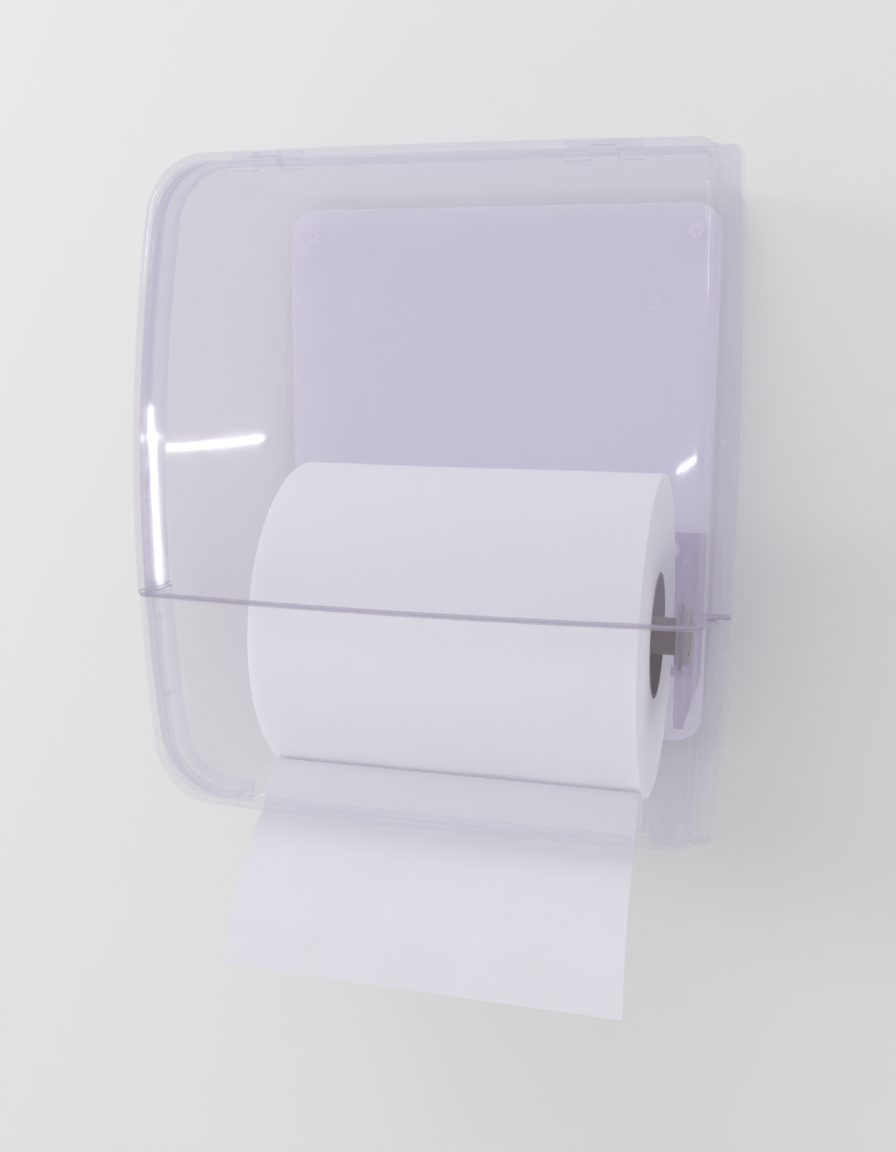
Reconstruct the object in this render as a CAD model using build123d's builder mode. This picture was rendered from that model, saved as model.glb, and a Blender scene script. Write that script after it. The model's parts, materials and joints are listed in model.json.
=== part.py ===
from build123d import *

# Wall-mounted tissue roll dispenser.
#
# A clear moulded tray is screwed to the wall. Its front is closed by a fixed lower cover and by a
# lid that hangs from two hinges along the top edge. The roll turns on a sprung two-part spindle
# between two arms, and the paper leaves over a guide and through a slot in the floor.
#
# Millimetres. X runs to the right, Y into the wall, Z up. The origin is on the wall plane, in the
# middle of the four wall screw holes. "Depth" is the distance out from the wall, towards -Y.

import os
from math import acos, atan2, cos, hypot, sin

os.makedirs("parts", exist_ok=True)

# Housing, seen from the front
top_z = 98.8
tray_floor_back_z = -105.2
tray_floor_front_z = -99.2
cover_bottom_z = -95.4
seam_z = -30.0
seam_gap = 0.6
round_corner = 20.0
square_corner = 6.0
tray_back_half = 87.3
tray_mouth_half = 89.0
wall = 2.2
back_wall = 3.0

# How far each side is drawn in at its ends (left, right), measured bow_reach from the widest place
cover_bows = (8.5, 1.2)
mouth_bows = (8.5, 3.6)
back_bows = (2.8, 2.8)
left_widest_z = -10.0
bow_reach = 96.0

# Depths of the housing's faces
mouth = 100.0
front_ends = 120.0
front_bow = 5.0
cover_half = 86.3
cover_inset = 0.6
cover_edge_round = 4.5

# Flanges where the covers meet the tray
tray_flange_half = 93.6
tray_flange_depth = 6.0
cover_flange_half = 88.8
cover_flange_depth = 5.2
cover_rim_half = 92.4
cover_rim_depth = 2.2
flange_round_corner = 22.0
flange_square_corner = 2.5
flange_round = 0.8
lid_gap = 0.4

# Lid hinges
hinge_z = 99.4
hinge_depth = 98.5
knuckle_r = 2.0
knuckle_length = 7.0
knuckle_gap = 0.4
hinge_pin_r = 0.9
hinge_bore_r = 0.95
hinge_xs = (-48.0, 52.0)
knuckle_root_z = 96.0
relief_bottom_z = 95.6
relief_depth = 1.2

# Paper roll and its spindle
roll_x = 8.0
roll_depth = 62.0
roll_z = -45.6
roll_r = 51.6
roll_length = 119.0
core_bore_r = 19.0
core_wall = 1.2
hub_r = 18.93
hub_width = 8.0
hub_recess = 6.0
hub_ring = 2.2
hub_boss = 3.0
hub_web = 2.4
stub_r = 6.0
tube_r = 9.0
tube_bore_r = 6.5
plunger_head_r = 6.44
plunger_head_length = 4.0
rod_r = 5.5
collar_bore_r = 5.56
spring_length = 34.0
spring_wire_r = 0.55
spring_coil_r = 4.9
spring_turns = 8

# Roll arms
arm_gap = 7.5
arm_thick = 2.5
arm_top_z = -20.0
arm_bottom_z = -72.0
arm_reach = 82.0
arm_corner = 8.0
foot_length = 15.0
foot_thick = 2.5
gusset_reach = 6.0
gusset_height = 9.0
gusset_half = 1.0
bushing_r = 9.0
bushing_flange_r = 11.0
bushing_flange = 1.2
bushing_bore_r = 6.06

# Inner plate, wall holes and rivets
plate_back = 5.5
plate_half = 78.5
plate_top_z = 93.5
plate_bottom_z = -97.0
plate_thick = 2.0
plate_corner = 10.0
plate_round = 0.8
boss_r = 4.0
wall_hole_r = 2.6
wall_hole_x = 55.0
wall_hole_z = 60.0
plate_rivet_x = 70.0
plate_rivet_z = 84.0
arm_rivet_level = 20.0
arm_rivet_edge = 6.0
rivet_r = 1.4
rivet_head_r = 2.8
rivet_head = 1.2
rivet_dome = 0.7
rivet_hole_start = 1.5
plate_rivet_reach = 5.0
arm_rivet_tip = 0.8
flange_rivet_r = 0.9
flange_rivet_head_r = 1.7
flange_rivet_head = 0.8
flange_rivet_x = 90.9
flange_rivet_zs = (-42.0, -68.0)
flange_rivet_grip = 1.4

# Paper outlet
slot_left = -56.0
slot_right = 72.0
slot_back = 95.5
slot_front = 114.0
slot_zs = (-112.0, -86.0)
guide_top_z = -88.9
guide_width = 3.2
guide_end = 4.0
guide_round = 1.4
tail_width = 118.0
tail_thick = 0.4
tail_lift = 0.1
roll_lift = 0.3
crest_lift = 0.9
tail_bends = [(-108.0, -99.8), (-127.0, -112.0), (-138.5, -122.5), (-145.0, -134.0)]
tail_radii = (2.6, 20.0, 16.0, 14.0)

# Lid bumpers
bumper_r = 1.7
bumper_height = 2.2
bumper_proud = 0.2
bumper_x = 86.2
bumper_depth = 2.6
bumper_round = 0.15

roll_left = roll_x - roll_length / 2
roll_right = roll_x + roll_length / 2
arm_left_face = roll_left - arm_gap
arm_right_face = roll_right + arm_gap
plate_face = plate_back + plate_thick
all_x = (-120.0, 120.0)
all_front = (mouth - 5, 140.0)
mid_z = (top_z + cover_bottom_z) / 2


def front_view(depth, half, low, high, round_r, square_r, bows):
    """Front outline at one depth: bowed sides, wide corners on the left, tight ones on the right."""
    left_low, left_high = [bows[0] * ((z - left_widest_z) / bow_reach) ** 2 - half for z in (low, high)]
    right = half - bows[1]
    with BuildSketch(Plane.XZ.offset(depth)) as sketch:
        with BuildLine():
            Line((left_high, high), (right, high))
            ThreePointArc((right, high), (half, mid_z), (right, low))
            Line((right, low), (left_low, low))
            ThreePointArc((left_low, low), (-half, left_widest_z), (left_high, high))
        make_face()
        fillet(sketch.vertices().sort_by(Axis.X)[:2], round_r)
        fillet(sketch.vertices().sort_by(Axis.X)[-2:], square_r)
    return sketch.sketch


def bowed_block(start, inset, rounding):
    """Solid of the whole front cover from one depth forward, drawn in by inset on every side."""
    half = cover_half - inset
    front = front_ends - inset
    radius = (cover_half**2 + front_bow**2) / (2 * front_bow) - inset
    low = cover_bottom_z - cover_inset + inset
    outline = front_view(start, half, low, top_z - inset, round_corner - inset, square_corner - inset,
                         cover_bows)
    with BuildPart() as block:
        extrude(to_extrude=outline, amount=front + 2 * front_bow - start)
        with BuildSketch(Plane.XY.offset(2 * cover_bottom_z)):
            with Locations((0, radius - front - front_bow)):
                Circle(radius)
        extrude(amount=4 * top_z, mode=Mode.INTERSECT)
        fillet(block.faces().sort_by(Axis.Y)[0].edges(), rounding)
    return block.part


def flange_step(start, half, amount):
    """One step of a cover's flange, with its outer front edge rounded."""
    outline = front_view(start, half, tray_floor_front_z, top_z, flange_round_corner,
                         flange_square_corner, mouth_bows)
    with BuildPart() as step:
        extrude(to_extrude=outline, amount=amount)
        fillet(step.faces().sort_by(Axis.Y)[0].edges(), flange_round)
    return step.part


def cover_flange(start):
    """Stepped flange round a cover: a thin wide rim at the back, a narrower ridge in front of it."""
    with BuildPart() as flange:
        add(flange_step(start, cover_rim_half, cover_rim_depth))
        add(flange_step(start, cover_flange_half, cover_flange_depth))
    return flange.part


def rod(x_from, x_to, radius, depth=roll_depth, z=roll_z):
    """Round bar along X."""
    with BuildPart() as bar:
        with BuildSketch(Plane.YZ.offset(x_from)):
            with Locations((-depth, z)):
                Circle(radius)
        extrude(amount=x_to - x_from)
    return bar.part


def block_between(x_range, depth_range, z_range):
    """Rectangular block between two values of X, of depth and of Z."""
    with BuildPart() as box:
        with BuildSketch(Plane.XZ.offset(depth_range[0])):
            with Locations((sum(x_range) / 2, sum(z_range) / 2)):
                Rectangle(x_range[1] - x_range[0], z_range[1] - z_range[0])
        extrude(amount=depth_range[1] - depth_range[0])
    return box.part


def front_peg(points, radius, depth_range):
    """Round bars along the depth at each (X, Z) point."""
    with BuildPart() as pegs:
        with BuildSketch(Plane.XZ.offset(depth_range[0])):
            with Locations(*points):
                Circle(radius)
        extrude(amount=depth_range[1] - depth_range[0])
    return pegs.part


def corners(x, z, centre_z=0.0):
    """Four points of a rectangle about the centre line."""
    return [(side * x, centre_z + level * z) for side in (-1, 1) for level in (-1, 1)]


wall_holes = corners(wall_hole_x, wall_hole_z)
plate_rivets_at = corners(plate_rivet_x, plate_rivet_z)
arm_mid_z = (arm_top_z + arm_bottom_z) / 2
foot_inset = foot_length - arm_rivet_edge
arm_rivets_at = [
    (face - side * foot_inset, arm_mid_z + level)
    for side, face in ((-1, arm_left_face), (1, arm_right_face))
    for level in (-arm_rivet_level, arm_rivet_level)
]
flange_rivets_at = [
    (mouth_bows[0] * ((z - left_widest_z) / bow_reach) ** 2 - flange_rivet_x, z) for z in flange_rivet_zs
] + [
    (flange_rivet_x - mouth_bows[1] * ((z - mid_z) / bow_reach) ** 2, z) for z in flange_rivet_zs
]
slot_block = block_between((slot_left, slot_right), (slot_back, slot_front), slot_zs)
lid_knuckles = [(x - knuckle_length / 2, x + knuckle_length / 2) for x in hinge_xs]
knuckle_pitch = knuckle_length + knuckle_gap
tray_knuckles = [(x + side * knuckle_pitch - knuckle_length / 2,
                  x + side * knuckle_pitch + knuckle_length / 2) for x in hinge_xs for side in (-1, 1)]

# Tray: back, four walls, a flange round the mouth, hinge knuckles on the top edge
with BuildPart() as tray:
    loft([
        front_view(0, tray_back_half, tray_floor_back_z, top_z, round_corner, square_corner, back_bows),
        front_view(mouth, tray_mouth_half, tray_floor_front_z, top_z, round_corner, square_corner,
                   mouth_bows),
    ])
    extrude(
        to_extrude=front_view(mouth - tray_flange_depth, tray_flange_half, tray_floor_front_z, top_z,
                              flange_round_corner, flange_square_corner, mouth_bows),
        amount=tray_flange_depth,
    )
    loft([
        front_view(back_wall, tray_back_half - wall, tray_floor_back_z + wall, top_z - wall,
                   round_corner - wall, square_corner - wall, back_bows),
        front_view(mouth + 1, tray_mouth_half - wall, tray_floor_front_z + wall, top_z - wall,
                   round_corner - wall, square_corner - wall, mouth_bows),
    ], mode=Mode.SUBTRACT)
    add(front_peg(plate_rivets_at, boss_r, (back_wall - 1, plate_back)))
    add(slot_block, mode=Mode.SUBTRACT)
    add(front_peg(wall_holes, wall_hole_r, (-1, back_wall + 1)), mode=Mode.SUBTRACT)
    add(front_peg(plate_rivets_at, rivet_r, (rivet_hole_start, plate_back + 1)), mode=Mode.SUBTRACT)
    add(front_peg(flange_rivets_at, flange_rivet_r, (mouth - tray_flange_depth - 1, mouth + 1)),
        mode=Mode.SUBTRACT)
    for x_low, x_high in lid_knuckles:
        relief_x = (x_low - knuckle_gap, x_high + knuckle_gap)
        relief_z = (relief_bottom_z, hinge_z + knuckle_r + 1)
        add(block_between(relief_x, (hinge_depth - 3.5, mouth + 1), relief_z), mode=Mode.SUBTRACT)
    for x_low, x_high in tray_knuckles:
        add(rod(x_low, x_high, knuckle_r, hinge_depth, hinge_z))
        root_depth = (hinge_depth - knuckle_r, hinge_depth + relief_depth)
        add(block_between((x_low, x_high), root_depth, (knuckle_root_z, hinge_z)))
        add(rod(x_low - 1, x_high + 1, hinge_pin_r, hinge_depth, hinge_z), mode=Mode.SUBTRACT)
tray.part.label = "tray"

# Inner plate: carries the arms and hides the heads of the wall screws
with BuildPart() as chassis_plate:
    with BuildSketch(Plane.XZ.offset(plate_back)):
        with Locations((0, (plate_top_z + plate_bottom_z) / 2)):
            RectangleRounded(2 * plate_half, plate_top_z - plate_bottom_z, plate_corner)
        with Locations(*(plate_rivets_at + arm_rivets_at)):
            Circle(rivet_r, mode=Mode.SUBTRACT)
    extrude(amount=plate_thick)
    fillet(chassis_plate.faces().sort_by(Axis.Y)[0].outer_wire().edges(), plate_round)
chassis_plate.part.label = "chassis_plate"


def rivets(points, seat, reach, shank_r, head_r, head, outward=1):
    """Moulded push rivets with domed heads; the head stands on the seat, the shank goes back."""
    with BuildPart() as group:
        add(front_peg(points, shank_r, (seat - outward * reach, seat)))
        add(front_peg(points, head_r, (seat, seat + outward * head)))
        fillet(group.faces().group_by(Axis.Y)[0 if outward > 0 else -1].edges(), head * rivet_dome)
    return group.part


with BuildPart() as plate_rivets:
    add(rivets(plate_rivets_at, plate_face, plate_rivet_reach, rivet_r, rivet_head_r, rivet_head))
plate_rivets.part.label = "plate_rivets"

with BuildPart() as arm_rivets:
    add(rivets(arm_rivets_at, plate_face + foot_thick, foot_thick + plate_thick + arm_rivet_tip,
               rivet_r, rivet_head_r, rivet_head))
arm_rivets.part.label = "arm_rivets"


def arm(face, side):
    """Roll arm: a plate square to X on a foot that turns in behind the roll."""
    outer = face + side * arm_thick
    plate_x = (min(face, outer), max(face, outer))
    inner = face - side * foot_length
    foot_x = (min(inner, face), max(inner, face))
    points = [point for point in arm_rivets_at if foot_x[0] < point[0] < foot_x[1]]
    with BuildPart() as piece:
        add(block_between(plate_x, (plate_face, arm_reach), (arm_bottom_z, arm_top_z)))
        front_corners = piece.edges().filter_by(Axis.X).group_by(Axis.Y)[0]
        fillet(front_corners, arm_corner)
        add(block_between(foot_x, (plate_face, plate_face + foot_thick), (arm_bottom_z, arm_top_z)))
        gusset_x = sorted((face - side * gusset_reach, face))
        add(block_between(gusset_x, (plate_face, plate_face + gusset_height),
                          (arm_mid_z - gusset_half, arm_mid_z + gusset_half)))
        add(front_peg(points, rivet_r, (plate_face - 1, plate_face + foot_thick + 1)), mode=Mode.SUBTRACT)
        add(rod(plate_x[0] - 1, plate_x[1] + 1, bushing_r), mode=Mode.SUBTRACT)
    return piece.part


with BuildPart() as arm_left:
    add(arm(arm_left_face, -1))
arm_left.part.label = "arm_left"

with BuildPart() as arm_right:
    add(arm(arm_right_face, 1))
arm_right.part.label = "arm_right"


def bushing(face, side):
    """Flanged bush pressed into an arm; the spindle stub seats in it."""
    with BuildPart() as bush:
        inner = face - side * bushing_flange
        outer = face + side * arm_thick
        add(rod(min(face, outer), max(face, outer), bushing_r))
        add(rod(min(inner, face), max(inner, face), bushing_flange_r))
        chamfer(bush.edges().filter_by(GeomType.CIRCLE).sort_by(SortBy.RADIUS)[-2:], 0.4)
        add(rod(min(inner, outer) - 1, max(inner, outer) + 1, bushing_bore_r), mode=Mode.SUBTRACT)
    return bush.part


with BuildPart() as bushing_left:
    add(bushing(arm_left_face, -1))
bushing_left.part.label = "bushing_left"

with BuildPart() as bushing_right:
    add(bushing(arm_right_face, 1))
bushing_right.part.label = "bushing_right"

# Lower cover: the fixed bottom third of the front, with the paper slot in its floor
cover_back = mouth
with BuildPart() as lower_cover:
    add(bowed_block(cover_back, cover_inset, cover_edge_round - 1))
    add(cover_flange(cover_back))
    add(bowed_block(cover_back - 1, cover_inset + wall, cover_edge_round - 1 - wall), mode=Mode.SUBTRACT)
    lid_space = block_between(all_x, all_front, (seam_z - seam_gap, top_z + 1))
    add(lid_space, mode=Mode.SUBTRACT)
    add(slot_block, mode=Mode.SUBTRACT)
    add(front_peg(flange_rivets_at, flange_rivet_r, (mouth - 1, mouth + flange_rivet_grip + 0.2)),
        mode=Mode.SUBTRACT)
    for side in (-1, 1):
        with BuildSketch(Plane.XY.offset(seam_z - seam_gap)):
            with Locations((side * bumper_x, -cover_back - bumper_depth)):
                Circle(bumper_r)
        extrude(amount=-(bumper_height - bumper_proud), mode=Mode.SUBTRACT)
lower_cover.part.label = "lower_cover"

with BuildPart() as cover_rivets:
    add(rivets(flange_rivets_at, mouth - tray_flange_depth, tray_flange_depth + flange_rivet_grip,
               flange_rivet_r, flange_rivet_head_r, flange_rivet_head, outward=-1))
cover_rivets.part.label = "cover_rivets"


def bumper(side):
    """Soft bumper in the lower cover's corner, under the lid's lower corner."""
    with BuildPart() as pad:
        with BuildSketch(Plane.XY.offset(seam_z - seam_gap - bumper_height + bumper_proud)):
            with Locations((side * bumper_x, -cover_back - bumper_depth)):
                Circle(bumper_r)
        extrude(amount=bumper_height)
        fillet(pad.faces().sort_by(Axis.Z)[-1].edges(), bumper_round)
    return pad.part


with BuildPart() as lid_bumper_left:
    add(bumper(-1))
lid_bumper_left.part.label = "lid_bumper_left"

with BuildPart() as lid_bumper_right:
    add(bumper(1))
lid_bumper_right.part.label = "lid_bumper_right"

# Lid: the upper two thirds of the front, hung from the knuckles on its top edge
lid_back = mouth + lid_gap
with BuildPart() as lid:
    add(bowed_block(lid_back, 0, cover_edge_round))
    add(cover_flange(lid_back))
    add(bowed_block(lid_back - 1, wall, cover_edge_round - wall), mode=Mode.SUBTRACT)
    add(block_between(all_x, all_front, (tray_floor_front_z - 1, seam_z)), mode=Mode.SUBTRACT)
    for x_low, x_high in tray_knuckles:
        relief_x = (x_low - knuckle_gap, x_high + knuckle_gap)
        relief_z = (relief_bottom_z - 0.6, top_z + 1)
        add(block_between(relief_x, (mouth - 1, mouth + relief_depth), relief_z), mode=Mode.SUBTRACT)
    for x_low, x_high in lid_knuckles:
        add(rod(x_low, x_high, knuckle_r, hinge_depth, hinge_z))
        add(block_between((x_low, x_high), (hinge_depth, mouth + 4), (hinge_z - knuckle_r, hinge_z)))
        add(rod(x_low - 1, x_high + 1, hinge_bore_r, hinge_depth, hinge_z), mode=Mode.SUBTRACT)
lid.part.label = "lid"


def hinge_pin(x):
    """Steel pin through one hinge, pressed into the two tray knuckles."""
    reach = 1.5 * knuckle_length + knuckle_gap
    return rod(x - reach, x + reach, hinge_pin_r, hinge_depth, hinge_z)


with BuildPart() as hinge_pin_left:
    add(hinge_pin(hinge_xs[0]))
hinge_pin_left.part.label = "hinge_pin_left"

with BuildPart() as hinge_pin_right:
    add(hinge_pin(hinge_xs[1]))
hinge_pin_right.part.label = "hinge_pin_right"

# Spindle: a tube held at the left, a sprung plunger at the right
hub_left_x = roll_left + hub_recess
hub_right_x = roll_right - hub_recess - hub_width
tube_start = hub_left_x + hub_width
tube_end = roll_x + 22.0
spring_seat = roll_x - 42.0
head_x = spring_seat + spring_length
collar_width = 4.0

with BuildPart() as spindle_tube:
    add(rod(arm_left_face - arm_thick, tube_start, stub_r))
    add(rod(tube_start, tube_end, tube_r))
    add(rod(spring_seat, tube_end + 1, tube_bore_r), mode=Mode.SUBTRACT)
    chamfer(spindle_tube.faces().sort_by(Axis.X)[0].edges(), 0.8)
spindle_tube.part.label = "spindle_tube"

with BuildPart() as spindle_collar:
    add(rod(tube_end, tube_end + collar_width, tube_r))
    add(rod(tube_end - 1, tube_end + collar_width + 1, collar_bore_r), mode=Mode.SUBTRACT)
    chamfer(spindle_collar.faces().sort_by(Axis.X)[-1].outer_wire().edges(), 0.8)
spindle_collar.part.label = "spindle_collar"

with BuildPart() as spindle_plunger:
    add(rod(head_x, head_x + plunger_head_length, plunger_head_r))
    add(rod(head_x, hub_right_x, rod_r))
    add(rod(hub_right_x, arm_right_face + arm_thick, stub_r))
    chamfer(spindle_plunger.faces().sort_by(Axis.X)[-1].edges(), 0.8)
spindle_plunger.part.label = "spindle_plunger"


def hub(x):
    """Spoked hub that fills the core's bore and sits on a spindle stub."""
    with BuildPart() as wheel:
        add(rod(x, x + hub_width, hub_r))
        add(rod(x - 1, x + hub_width + 1, hub_r - hub_ring), mode=Mode.SUBTRACT)
        add(rod(x + (hub_width - hub_web) / 2, x + (hub_width + hub_web) / 2, hub_r - hub_ring / 2))
        add(rod(x, x + hub_width, stub_r + hub_boss))
        add(rod(x - 1, x + hub_width + 1, stub_r), mode=Mode.SUBTRACT)
    return wheel.part


with BuildPart() as hub_left:
    add(hub(hub_left_x))
hub_left.part.label = "hub_left"

with BuildPart() as hub_right:
    add(hub(hub_right_x))
hub_right.part.label = "hub_right"

# Compression spring between the tube's blind end and the plunger's head
with BuildPart() as spindle_spring:
    wire_room = spring_wire_r + 0.05
    coil_length = spring_length - 2 * wire_room
    coil_start = (spring_seat + wire_room, -roll_depth, roll_z)
    with BuildLine() as coil:
        Helix(pitch=coil_length / spring_turns, height=coil_length, radius=spring_coil_r,
              center=coil_start, direction=(1, 0, 0))
    with BuildSketch(Plane(origin=coil.line @ 0, z_dir=coil.line % 0)):
        Circle(spring_wire_r)
    sweep()
spindle_spring.part.label = "spindle_spring"

# Roll
with BuildPart() as cardboard_core:
    add(rod(roll_left, roll_right, core_bore_r + core_wall))
    add(rod(roll_left - 1, roll_right + 1, core_bore_r), mode=Mode.SUBTRACT)
cardboard_core.part.label = "cardboard_core"

with BuildPart() as paper_roll:
    add(rod(roll_left, roll_right, roll_r))
    add(rod(roll_left - 1, roll_right + 1, core_bore_r + core_wall), mode=Mode.SUBTRACT)
    chamfer(paper_roll.edges().filter_by(GeomType.CIRCLE).sort_by(SortBy.RADIUS)[-2:], 0.5)
paper_roll.part.label = "paper_roll"

# Paper guide: an upright lip with a rounded top along the slot's rear edge
with BuildPart() as paper_guide:
    guide_foot_z = tray_floor_front_z + wall - 1
    add(block_between((slot_left + guide_end, slot_right - guide_end), (slot_back - guide_width, slot_back),
                      (guide_foot_z, guide_top_z)))
    fillet(paper_guide.edges().filter_by(Axis.X).group_by(Axis.Z)[-1], guide_round)
    add(tray.part, mode=Mode.SUBTRACT)
paper_guide.part.label = "paper_guide"

# Free end of the paper: off the roll's underside, over the guide, out through the slot
guide_y = -(slot_back - guide_width / 2)
guide_z = guide_top_z + tail_lift + tail_thick / 2
leave_r = roll_r + roll_lift + tail_thick / 2
to_guide = (guide_y + roll_depth, guide_z - roll_z)
guide_distance = hypot(*to_guide)
leave_angle = atan2(to_guide[1], to_guide[0]) + acos(leave_r / guide_distance)
leave_y = -roll_depth + leave_r * cos(leave_angle)
leave_z = roll_z + leave_r * sin(leave_angle)
tail_points = [(leave_y, leave_z), (guide_y, guide_z + crest_lift)] + tail_bends
with BuildPart() as paper_tail:
    with BuildSketch(Plane.YZ.offset(roll_x - tail_width / 2)):
        with BuildLine():
            FilletPolyline(*tail_points, radius=tail_radii)
        trace(line_width=tail_thick)
    extrude(amount=tail_width)
paper_tail.part.label = "paper_tail"

for piece in (
    tray, chassis_plate, plate_rivets, arm_left, arm_right, arm_rivets, bushing_left, bushing_right,
    lower_cover, cover_rivets, lid_bumper_left, lid_bumper_right, lid, hinge_pin_left,
    hinge_pin_right, spindle_tube, spindle_collar, spindle_plunger, hub_left, hub_right,
    spindle_spring, cardboard_core, paper_roll, paper_guide, paper_tail,
):
    export_step(piece.part, f"parts/{piece.part.label}.step")
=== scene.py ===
"""Looks of the wall-mounted tissue roll dispenser: materials, paper, stage, lights and camera."""
import json
import math

import bmesh
import bpy
from mathutils import Matrix, Vector, noise


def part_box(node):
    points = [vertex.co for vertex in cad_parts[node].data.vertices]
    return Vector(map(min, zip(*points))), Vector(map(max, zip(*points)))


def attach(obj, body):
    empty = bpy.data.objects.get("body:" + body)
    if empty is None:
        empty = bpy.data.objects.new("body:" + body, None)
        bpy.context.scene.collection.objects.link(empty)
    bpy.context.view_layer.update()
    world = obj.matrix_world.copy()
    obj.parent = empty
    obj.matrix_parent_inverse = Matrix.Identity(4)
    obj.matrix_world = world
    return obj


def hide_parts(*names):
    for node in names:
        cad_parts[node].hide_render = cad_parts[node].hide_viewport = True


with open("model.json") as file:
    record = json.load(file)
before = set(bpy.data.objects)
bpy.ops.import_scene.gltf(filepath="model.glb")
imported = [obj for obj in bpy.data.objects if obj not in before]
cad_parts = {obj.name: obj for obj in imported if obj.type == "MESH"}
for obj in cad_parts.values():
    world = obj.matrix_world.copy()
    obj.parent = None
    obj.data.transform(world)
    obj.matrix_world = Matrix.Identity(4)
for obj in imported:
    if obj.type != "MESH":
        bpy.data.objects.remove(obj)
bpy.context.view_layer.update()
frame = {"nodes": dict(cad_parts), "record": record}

NODES = frame["nodes"]

# The roll and its axis, read from the frame
ROLL_LOW, ROLL_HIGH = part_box("paper_roll")
CORE_LOW, CORE_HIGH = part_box("cardboard_core")
TAIL_LOW, TAIL_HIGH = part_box("paper_tail")
ROLL_Y = (ROLL_LOW[1] + ROLL_HIGH[1]) / 2
ROLL_Z = (ROLL_LOW[2] + ROLL_HIGH[2]) / 2
ROLL_R = (ROLL_HIGH[2] - ROLL_LOW[2]) / 2
CORE_R = (CORE_HIGH[2] - CORE_LOW[2]) / 2

# Free end of the paper, seen from the side: (Y, Z) corners and the radii that round them, in mm
TAIL_CORNERS = [(-83.4, -93.1), (-94.3, -87.0), (-108.0, -99.8), (-127.0, -112.0), (-138.5, -122.5),
                (-145.0, -134.0)]
TAIL_RADII = (2.6, 20.0, 16.0, 14.0)
# How far it drifts to the right by its end, and how its free part ripples, in metres
TAIL_DRIFT = 0.0038
TAIL_THICK = 0.00016
TAIL_TRIM = 0.0004
TAIL_ACROSS = 72
TAIL_FREE_FROM = 0.35
TAIL_RIPPLE = 0.0007
TAIL_EDGE_CURL = 0.0004

# Wound roll: facets, layers drawn on its ends, rounding and unevenness in metres
ROLL_SIDES = 160
ROLL_LAYERS = 26
SKIN_RINGS = 40
SKIN_WOBBLE = 0.00035
END_ROUND = 0.0009
END_TURNS = (22.5, 45, 67.5)
END_WOBBLE = 0.0001
END_GAP = 0.00005
LAYER_STEP = 0.00022
LAYER_JITTER = 0.0002
# Painted glow of the tissue: emission that lightens the shade in the gap between the web and the roll
TISSUE_PAINTED_GLOW = (0.86, 0.85, 0.91)
TISSUE_PAINTED_GLOW_STRENGTH = 0.13


# ---------------------------------------------------------------- node helpers


def material(name):
    """New node material with a Principled shader; returns it, its nodes, its links and the shader."""
    made = bpy.data.materials.new(name)
    made.use_nodes = True
    nodes, links = made.node_tree.nodes, made.node_tree.links
    shader = nodes["Principled BSDF"]
    return made, nodes, links, shader


def place(nodes, links, scale=(1, 1, 1)):
    """Object coordinates in metres, stretched by scale."""
    where = nodes.new("ShaderNodeTexCoord")
    mapping = nodes.new("ShaderNodeMapping")
    mapping.inputs["Scale"].default_value = scale
    links.new(where.outputs["Object"], mapping.inputs["Vector"])
    return mapping.outputs["Vector"]


def noise_at(nodes, links, vector, scale, detail=3.0):
    """Noise of the given scale, as a factor socket."""
    made = nodes.new("ShaderNodeTexNoise")
    made.inputs["Scale"].default_value = scale
    made.inputs["Detail"].default_value = detail
    links.new(vector, made.inputs["Vector"])
    return made.outputs["Fac"]


def blend_colours(nodes, links, factor, first, second):
    """Mixes two colours by a factor socket."""
    made = nodes.new("ShaderNodeMix")
    made.data_type = "RGBA"
    made.inputs["A"].default_value = (*first, 1)
    made.inputs["B"].default_value = (*second, 1)
    links.new(factor, made.inputs["Factor"])
    return made.outputs["Result"]


def remap(nodes, links, value, low, high, to_low, to_high):
    """A value socket taken linearly from one range to another, and held at its ends."""
    made = nodes.new("ShaderNodeMapRange")
    for name, number in (("From Min", low), ("From Max", high), ("To Min", to_low), ("To Max", to_high)):
        made.inputs[name].default_value = number
    links.new(value, made.inputs["Value"])
    return made.outputs["Result"]


def bump(nodes, links, height, shader, strength, distance):
    """Fine relief on the shader's surface."""
    made = nodes.new("ShaderNodeBump")
    made.inputs["Strength"].default_value = strength
    made.inputs["Distance"].default_value = distance
    links.new(height, made.inputs["Height"])
    links.new(made.outputs["Normal"], shader.inputs["Normal"])


# ---------------------------------------------------------------- materials


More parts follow.
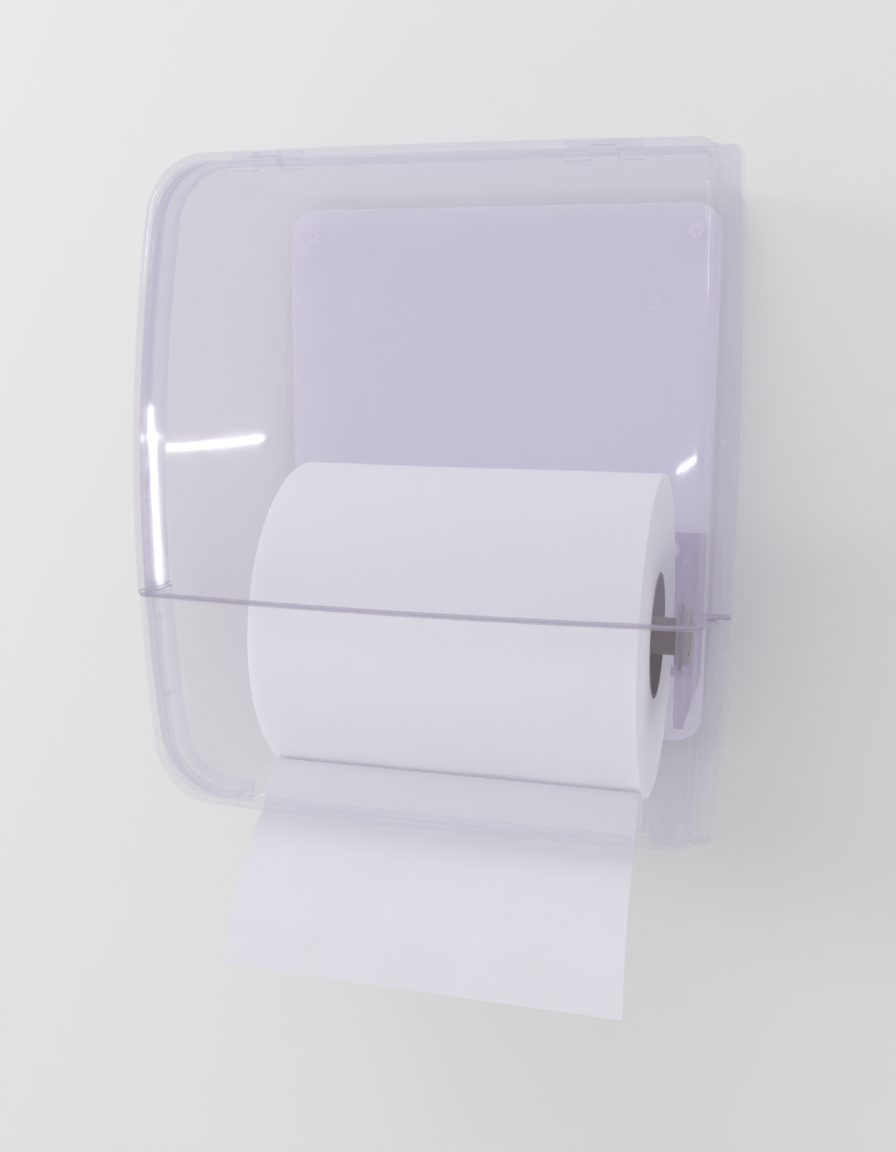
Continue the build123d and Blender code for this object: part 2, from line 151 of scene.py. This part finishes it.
def clear_plastic(name, pale, deep, face_alpha, edge_alpha, gloss, painted_glow, seam=None):
    """Tinted see-through moulding: clearer face on, denser where it is seen edge on or at the seam.

    The painted glow is emission: painted light standing for the light that clear plastic carries inside its
    walls, and lifting the shade inside the housing."""
    made, nodes, links, shader = material(name)
    vector = place(nodes, links)
    cloud = noise_at(nodes, links, vector, 14.0)
    colour = blend_colours(nodes, links, cloud, pale, deep)
    weight = nodes.new("ShaderNodeLayerWeight")
    weight.inputs["Blend"].default_value = 0.3
    alpha = remap(nodes, links, weight.outputs["Facing"], 0.1, 0.95, face_alpha, edge_alpha)
    if seam:
        band = seam_band(nodes, links, vector, seam)
        shade = nodes.new("ShaderNodeMix")
        shade.data_type = "RGBA"
        shade.inputs["B"].default_value = (*SEAM_TINT, 1)
        links.new(band, shade.inputs["Factor"])
        links.new(colour, shade.inputs["A"])
        colour = shade.outputs["Result"]
        denser = nodes.new("ShaderNodeMath")
        denser.operation = "MAXIMUM"
        links.new(alpha, denser.inputs[0])
        links.new(band, denser.inputs[1])
        alpha = denser.outputs["Value"]
    links.new(colour, shader.inputs["Base Color"])
    # Painted glow: emission in the moulding's own colour, light painted in where the moulding sits in shade
    links.new(colour, shader.inputs["Emission Color"])
    shader.inputs["Emission Strength"].default_value = painted_glow
    links.new(alpha, shader.inputs["Alpha"])
    fine = noise_at(nodes, links, vector, 420.0, detail=4.0)
    links.new(remap(nodes, links, fine, 0.3, 0.7, gloss, gloss + 0.06), shader.inputs["Roughness"])
    shader.inputs["IOR"].default_value = 1.5
    bump(nodes, links, noise_at(nodes, links, vector, 26.0, detail=0.0), shader, 0.03, 0.0004)
    return made


def seam_band(nodes, links, vector, seam):
    """1 within a hair of the height of the seam, 0 away from it."""
    height, half_width, strength = seam
    apart = nodes.new("ShaderNodeSeparateXYZ")
    links.new(vector, apart.inputs["Vector"])
    offset = nodes.new("ShaderNodeMath")
    offset.operation = "SUBTRACT"
    offset.inputs[1].default_value = height
    links.new(apart.outputs["Z"], offset.inputs[0])
    distance = nodes.new("ShaderNodeMath")
    distance.operation = "ABSOLUTE"
    links.new(offset.outputs["Value"], distance.inputs[0])
    return remap(nodes, links, distance.outputs["Value"], 0.6 * half_width, half_width, strength, 0.0)


def moulded_plastic(name, light, dark, roughness):
    """Opaque moulded plastic with a fine spark-eroded grain."""
    made, nodes, links, shader = material(name)
    vector = place(nodes, links)
    cloud = noise_at(nodes, links, vector, 60.0)
    links.new(blend_colours(nodes, links, cloud, light, dark), shader.inputs["Base Color"])
    grain = noise_at(nodes, links, vector, 1800.0, detail=2.0)
    links.new(remap(nodes, links, grain, 0.3, 0.7, roughness - 0.06, roughness + 0.08),
              shader.inputs["Roughness"])
    bump(nodes, links, grain, shader, 0.15, 0.0001)
    return made


def steel(name, light, dark, roughness):
    """Plated or drawn steel with fine marks."""
    made, nodes, links, shader = material(name)
    vector = place(nodes, links)
    marks = noise_at(nodes, links, vector, 900.0, detail=5.0)
    links.new(blend_colours(nodes, links, marks, light, dark), shader.inputs["Base Color"])
    links.new(remap(nodes, links, marks, 0.3, 0.7, roughness - 0.08, roughness + 0.1),
              shader.inputs["Roughness"])
    shader.inputs["Metallic"].default_value = 1.0
    bump(nodes, links, marks, shader, 0.1, 0.00005)
    return made


def soft_rubber(name, light, dark):
    """Soft clear rubber with a faint grain."""
    made, nodes, links, shader = material(name)
    vector = place(nodes, links)
    cloud = noise_at(nodes, links, vector, 700.0)
    links.new(blend_colours(nodes, links, cloud, light, dark), shader.inputs["Base Color"])
    shader.inputs["Roughness"].default_value = 0.45
    bump(nodes, links, cloud, shader, 0.1, 0.0001)
    return made


def tissue(name, light, dark, see_through=0.0, soft=0.0):
    """Matt white tissue: soft fibres and a faint crepe across the web."""
    made, nodes, links, shader = material(name)
    vector = place(nodes, links)
    cloud = noise_at(nodes, links, vector, 40.0, detail=3.0)
    links.new(blend_colours(nodes, links, cloud, light, dark), shader.inputs["Base Color"])
    shader.inputs["Roughness"].default_value = 0.92
    shader.inputs["Specular IOR Level"].default_value = 0.15
    # Painted glow: emission, light painted into the tissue where it lies in shade
    shader.inputs["Emission Color"].default_value = (*TISSUE_PAINTED_GLOW, 1)
    shader.inputs["Emission Strength"].default_value = TISSUE_PAINTED_GLOW_STRENGTH
    shader.inputs["Subsurface Weight"].default_value = soft
    shader.inputs["Subsurface Radius"].default_value = (1.0, 1.0, 1.05)
    shader.inputs["Subsurface Scale"].default_value = 0.004
    crepe = noise_at(nodes, links, place(nodes, links, (0.25, 1, 1)), 2600.0, detail=2.0)
    bump(nodes, links, crepe, shader, 0.25, 0.00015)
    if see_through:
        links.new(remap(nodes, links, cloud, 0.3, 0.7, 1 - see_through, 1 - see_through / 2),
                  shader.inputs["Alpha"])
    return made


def board(name):
    """Grey-brown wound cardboard with fibres."""
    made, nodes, links, shader = material(name)
    vector = place(nodes, links, (1, 0.25, 0.25))
    fibres = noise_at(nodes, links, vector, 1400.0, detail=6.0)
    links.new(blend_colours(nodes, links, fibres, (0.34, 0.28, 0.26), (0.21, 0.17, 0.16)),
              shader.inputs["Base Color"])
    shader.inputs["Roughness"].default_value = 0.85
    bump(nodes, links, fibres, shader, 0.3, 0.0001)
    return made


SEAM_TINT = (0.30, 0.26, 0.38)
SEAM = (-0.0303, 0.0009, 0.62)
# The last number of each clear material is its painted glow: emission that lifts it out of the shade inside
# the housing, strongest on the back plate
TRAY = clear_plastic("clear_violet_tray", (0.70, 0.68, 0.78), (0.66, 0.64, 0.75), 0.14, 0.34, 0.03, 0.06)
LID = clear_plastic("clear_violet_lid", (0.62, 0.58, 0.72), (0.58, 0.55, 0.70), 0.16, 0.36, 0.015, 0.05, SEAM)
COVER = clear_plastic("clear_violet_cover", (0.66, 0.64, 0.75), (0.62, 0.60, 0.72), 0.07, 0.44, 0.015, 0.06,
                      SEAM)
PLATE = clear_plastic("violet_plate", (0.70, 0.66, 0.80), (0.66, 0.62, 0.77), 0.24, 0.38, 0.18, 0.34)
# Painted shade: the arms are the same violet plastic drawn darker and denser, for the shade right of the roll
SHADED_ARM = clear_plastic("violet_arm_painted_shade", (0.48, 0.40, 0.59), (0.44, 0.37, 0.56), 0.32, 0.48, 0.22, 0.02)
CLIP = clear_plastic("clear_violet_clip", (0.90, 0.88, 0.96), (0.86, 0.84, 0.94), 0.02, 0.06, 0.08, 0.20)
TAUPE = moulded_plastic("taupe_plastic", (0.40, 0.325, 0.29), (0.33, 0.265, 0.24), 0.5)
SPRING = steel("spring_steel", (0.50, 0.50, 0.52), (0.36, 0.36, 0.38), 0.35)
RUBBER = soft_rubber("bumper_rubber", (0.84, 0.82, 0.90), (0.74, 0.72, 0.80))
TISSUE = tissue("tissue", (0.83, 0.825, 0.865), (0.805, 0.80, 0.84), soft=0.5)
# Painted shade: the free end is the same tissue as the roll, drawn darker
SHADED_WEB = tissue("tissue_web_painted_shade", (0.675, 0.67, 0.725), (0.66, 0.655, 0.71), see_through=0.12)
BOARD = board("core_card")

LOOKS = {
    "clear_violet": TRAY,
    "violet_plate": PLATE,
    "taupe_plastic": TAUPE,
    "spring_steel": SPRING,
    "bumper_rubber": RUBBER,
    "tissue": TISSUE,
    "core_card": BOARD,
}
OWN_LOOKS = {
    "lid": LID,
    "lower_cover": COVER,
    "arm_left": SHADED_ARM,
    "arm_right": SHADED_ARM,
    "cover_rivets": CLIP,
    "hinge_pin_left": CLIP,
    "hinge_pin_right": CLIP,
}
for entry in frame["record"]["subparts"]:
    shown = NODES[entry["node"]]
    look = OWN_LOOKS.get(entry["node"], LOOKS[entry["material_slot"]])
    for slot in shown.material_slots:
        slot.material = look
    if not shown.material_slots:
        shown.data.materials.append(look)

# ---------------------------------------------------------------- paper


def mesh_piece(name, points, faces, look, body):
    """A visible piece in the row's frame that rides on a body."""
    mesh = bpy.data.meshes.new(name)
    mesh.from_pydata(points, [], faces)
    mesh.materials.append(look)
    made = bpy.data.objects.new(name, mesh)
    bpy.context.scene.collection.objects.link(made)
    for polygon in mesh.polygons:
        polygon.use_smooth = True
    mesh.set_sharp_from_angle(angle=math.radians(40))
    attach(made, body)
    return made


def ring_points(x, radius, wobble):
    """One ring round the roll's axis, a little uneven where the wound paper isn't quite round."""
    ring = []
    for i in range(ROLL_SIDES):
        angle = 2 * math.pi * i / ROLL_SIDES
        dent = wobble * noise.noise(Vector((1.6 * math.cos(angle), 1.6 * math.sin(angle), 22 * x)))
        ring.append((x, ROLL_Y + (radius - abs(dent)) * math.cos(angle),
                     ROLL_Z + (radius - abs(dent)) * math.sin(angle)))
    return ring


def lathed(rings):
    """Faces between successive rings of equal count, closed back to the first ring."""
    count = len(rings[0])
    points = [point for ring in rings for point in ring]
    faces = []
    for k in range(len(rings)):
        low, high = k * count, (k + 1) % len(rings) * count
        for i in range(count):
            n = (i + 1) % count
            faces.append((low + i, low + n, high + n, high + i))
    return points, faces


def layered_end(edge, inward, radii, seed):
    """Rings of one end of the roll, alternate layers set in and none quite level; inward is 1 or -1."""
    rings = []
    for k, radius in enumerate(radii):
        step = LAYER_STEP * (k % 2) + LAYER_JITTER * abs(noise.noise(Vector((radius * 900, seed, 0))))
        rings.append(ring_points(edge + inward * (END_GAP + step), radius, 0.0))
    return rings


def rounded_end(edge, inward, turns):
    """Rings that round one end's outer corner; inward is 1 or -1."""
    rings = []
    for turn in turns:
        a = math.radians(turn)
        rings.append(ring_points(edge + inward * END_ROUND * (1 - math.sin(a)),
                                 ROLL_R - END_ROUND + END_ROUND * math.sin(a), END_WOBBLE))
    return rings


def wound_roll():
    """Paper roll: soft outer skin, layered ends with rings at slightly different depths."""
    left, right = ROLL_LOW[0], ROLL_HIGH[0]
    bore = CORE_R + END_GAP
    depth = ROLL_R - END_ROUND - bore
    radii = [bore + depth * k / ROLL_LAYERS for k in range(ROLL_LAYERS + 1)]
    rings = layered_end(left, 1, radii, 0.3)
    rings += rounded_end(left, 1, END_TURNS)
    for k in range(SKIN_RINGS + 1):
        rings.append(ring_points(left + END_ROUND + (right - left - 2 * END_ROUND) * k / SKIN_RINGS,
                                 ROLL_R, SKIN_WOBBLE))
    rings += rounded_end(right, -1, END_TURNS[::-1])
    rings += layered_end(right, -1, radii[::-1], 4.3)
    points, faces = lathed(rings)
    made = mesh_piece("wound_roll", points, faces, TISSUE, "roll")
    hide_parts("paper_roll")


def arc_path(corners, radii, step=0.0008):
    """Evenly spaced points along a polyline whose inner corners are rounded."""
    dense = []
    for k, corner in enumerate(corners):
        if k in (0, len(corners) - 1):
            dense.append(corner)
            continue
        before = (corners[k - 1] - corner).normalized()
        after = (corners[k + 1] - corner).normalized()
        half = before.angle(after) / 2
        reach = min(radii[k - 1] / math.tan(half), 0.49 * (corners[k - 1] - corner).length,
                    0.49 * (corners[k + 1] - corner).length)
        start, end = corner + before * reach, corner + after * reach
        for i in range(13):
            t = i / 12
            dense.append(start * (1 - t) ** 2 + corner * (2 * t * (1 - t)) + end * t ** 2)
    lengths = [0.0]
    for a, b in zip(dense, dense[1:]):
        lengths.append(lengths[-1] + (b - a).length)
    count = max(2, round(lengths[-1] / step))
    path, k = [], 0
    for i in range(count + 1):
        at = lengths[-1] * i / count
        while k < len(dense) - 2 and lengths[k + 1] < at:
            k += 1
        span = lengths[k + 1] - lengths[k]
        path.append(dense[k].lerp(dense[k + 1], (at - lengths[k]) / span if span else 0))
    return path, lengths[-1]


def paper_tail():
    """Free end of the paper, from the roll's underside over the guide and out through the slot."""
    corners = [Vector((0, y / 1000, z / 1000)) for y, z in TAIL_CORNERS]
    path, length = arc_path(corners, [r / 1000 for r in TAIL_RADII])
    width = TAIL_HIGH[0] - TAIL_LOW[0] - TAIL_TRIM
    middle = (TAIL_HIGH[0] + TAIL_LOW[0]) / 2
    top, under = [], []
    for k, point in enumerate(path):
        ahead = path[min(k + 1, len(path) - 1)] - path[max(k - 1, 0)]
        out = Vector((0, ahead.z, -ahead.y)).normalized()
        free = max(0.0, (k / (len(path) - 1) - TAIL_FREE_FROM) / (1 - TAIL_FREE_FROM))
        for i in range(TAIL_ACROSS + 1):
            t = i / TAIL_ACROSS
            x = middle + width * (t - 0.5) + TAIL_DRIFT * (k / (len(path) - 1)) ** 1.5
            soft = free * TAIL_RIPPLE * noise.noise(Vector((5.0 * t, 3.5 * k / len(path), 1.7)))
            edge = free * TAIL_EDGE_CURL * math.cos(2 * math.pi * t) ** 3
            place_at = Vector((x, point.y, point.z)) + out * (soft + edge)
            top.append(place_at + out * TAIL_THICK / 2)
            under.append(place_at - out * TAIL_THICK / 2)
    rows, cols = len(path), TAIL_ACROSS + 1
    offset = rows * cols
    faces = []
    for k in range(rows - 1):
        for i in range(cols - 1):
            a, b, c, d = k * cols + i, k * cols + i + 1, (k + 1) * cols + i + 1, (k + 1) * cols + i
            faces.append((a, b, c, d))
            faces.append((offset + d, offset + c, offset + b, offset + a))
    for i in range(cols - 1):
        faces.append((i, offset + i, offset + i + 1, i + 1))
        last = (rows - 1) * cols
        faces.append((last + i + 1, offset + last + i + 1, offset + last + i, last + i))
    for k in range(rows - 1):
        a, d = k * cols, (k + 1) * cols
        faces.append((a, d, offset + d, offset + a))
        a, d = a + cols - 1, d + cols - 1
        faces.append((a, offset + a, offset + d, d))
    made = mesh_piece("paper_web", [tuple(v) for v in top + under], faces, SHADED_WEB, "housing")
    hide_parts("paper_tail")


wound_roll()
paper_tail()

# ---------------------------------------------------------------- stage

WALL_SIZE = 6.0
WALL_GAP = 0.0006
FLOOR_Z = -0.75


def plane(name, corners, look):
    mesh = bpy.data.meshes.new(name)
    mesh.from_pydata(corners, [], [(0, 1, 2, 3)])
    made = bpy.data.objects.new(name, mesh)
    bpy.context.scene.collection.objects.link(made)
    mesh.materials.append(look)
    return made


def one_sided(name, light, dark):
    """Matt paint that is see-through from behind, so that the object's back can be seen."""
    made, nodes, links, shader = material(name)
    cloud = noise_at(nodes, links, place(nodes, links), 1.5, detail=2.0)
    links.new(blend_colours(nodes, links, cloud, light, dark), shader.inputs["Base Color"])
    shader.inputs["Roughness"].default_value = 0.9
    shader.inputs["Specular IOR Level"].default_value = 0.1
    sides = nodes.new("ShaderNodeNewGeometry")
    gap = nodes.new("ShaderNodeBsdfTransparent")
    mix = nodes.new("ShaderNodeMixShader")
    links.new(sides.outputs["Backfacing"], mix.inputs["Fac"])
    links.new(shader.outputs["BSDF"], mix.inputs[1])
    links.new(gap.outputs["BSDF"], mix.inputs[2])
    links.new(mix.outputs["Shader"], nodes["Material Output"].inputs["Surface"])
    return made


PAINT = one_sided("pale_paint", (0.845, 0.845, 0.845), (0.825, 0.823, 0.823))
half = WALL_SIZE / 2
wall = plane("wall", [(-half, WALL_GAP, FLOOR_Z), (half, WALL_GAP, FLOOR_Z),
                      (half, WALL_GAP, half), (-half, WALL_GAP, half)], PAINT)
wall.visible_shadow = False
floor = plane("floor", [(-half, WALL_GAP - WALL_SIZE, FLOOR_Z), (half, WALL_GAP - WALL_SIZE, FLOOR_Z),
                        (half, WALL_GAP, FLOOR_Z), (-half, WALL_GAP, FLOOR_Z)], PAINT)

# ---------------------------------------------------------------- lights

world = bpy.data.worlds.new("studio")
bpy.context.scene.world = world
world.use_nodes = True
world.node_tree.nodes["Background"].inputs["Color"].default_value = (1.0, 0.99, 0.985, 1)
world.node_tree.nodes["Background"].inputs["Strength"].default_value = 0.735


def lamp(name, at, aim, size, power, colour=(1, 1, 1)):
    """Rectangular lamp facing a point."""
    data = bpy.data.lights.new(name, "AREA")
    data.shape = "RECTANGLE"
    data.size, data.size_y = size
    data.energy = power
    data.color = colour
    made = bpy.data.objects.new(name, data)
    made.location = at
    made.rotation_euler = (Vector(aim) - Vector(at)).to_track_quat("-Z", "Y").to_euler()
    bpy.context.scene.collection.objects.link(made)
    return made


def glint(name, at, aim, size, power, roll=0.0):
    """Lamp that is only seen reflected, and adds no light of its own; roll turns it in its own plane."""
    made = lamp(name, at, aim, size, power)
    made.rotation_euler.rotate_axis("Z", math.radians(roll))
    made.visible_diffuse = False
    made.visible_transmission = False
    return made


lamp("key", (-1.25, -0.62, 0.34), (0, -0.06, 0), (0.35, 0.35), 4.8, (1.0, 0.98, 0.96))
lamp("overhead", (-0.35, -0.95, 1.25), (0, -0.05, 0), (0.9, 0.9), 4.5)
glint("bar", (-0.732, -1.111, -0.077), (-0.056, -0.12, 0.02), (0.215, 0.0035), 0.62, 3.0)
glint("strip", (-0.838, -1.034, -0.140), (-0.075, -0.12, 0.0), (0.003, 0.215), 0.6, 3.0)
glint("spot", (0.226, -1.307, -0.090), (0.081, -0.12, 0.015), (0.060, 0.003), 0.15, 26.0)
glint("rim", (1.0, -0.9, 0.167), (0.09, -0.10, 0.07), (0.10, 0.15), 3.0)

# ---------------------------------------------------------------- camera

CAMERA_AT = Vector((0.11109, -0.47068, 0.04686))
CAMERA_YAW, CAMERA_PITCH, CAMERA_ROLL = (math.radians(a) for a in (15.49, 10.29, -0.35))
CAMERA_LENS = 40.66

data = bpy.data.cameras.new("camera")
camera = bpy.data.objects.new("camera", data)
bpy.context.scene.collection.objects.link(camera)
data.lens = CAMERA_LENS
data.sensor_width = 36.0
data.clip_start, data.clip_end = 0.01, 20.0
turn = Matrix.Rotation(CAMERA_YAW, 4, "Z") @ Matrix.Rotation(math.pi / 2 - CAMERA_PITCH, 4, "X")
camera.matrix_world = Matrix.Translation(CAMERA_AT) @ turn @ Matrix.Rotation(-CAMERA_ROLL, 4, "Z")
bpy.context.scene.camera = camera

bpy.context.scene.view_settings.view_transform = "Standard"
# Enough see-through layers for a line of sight that runs along the clear walls
bpy.context.scene.cycles.transparent_max_bounces = 24
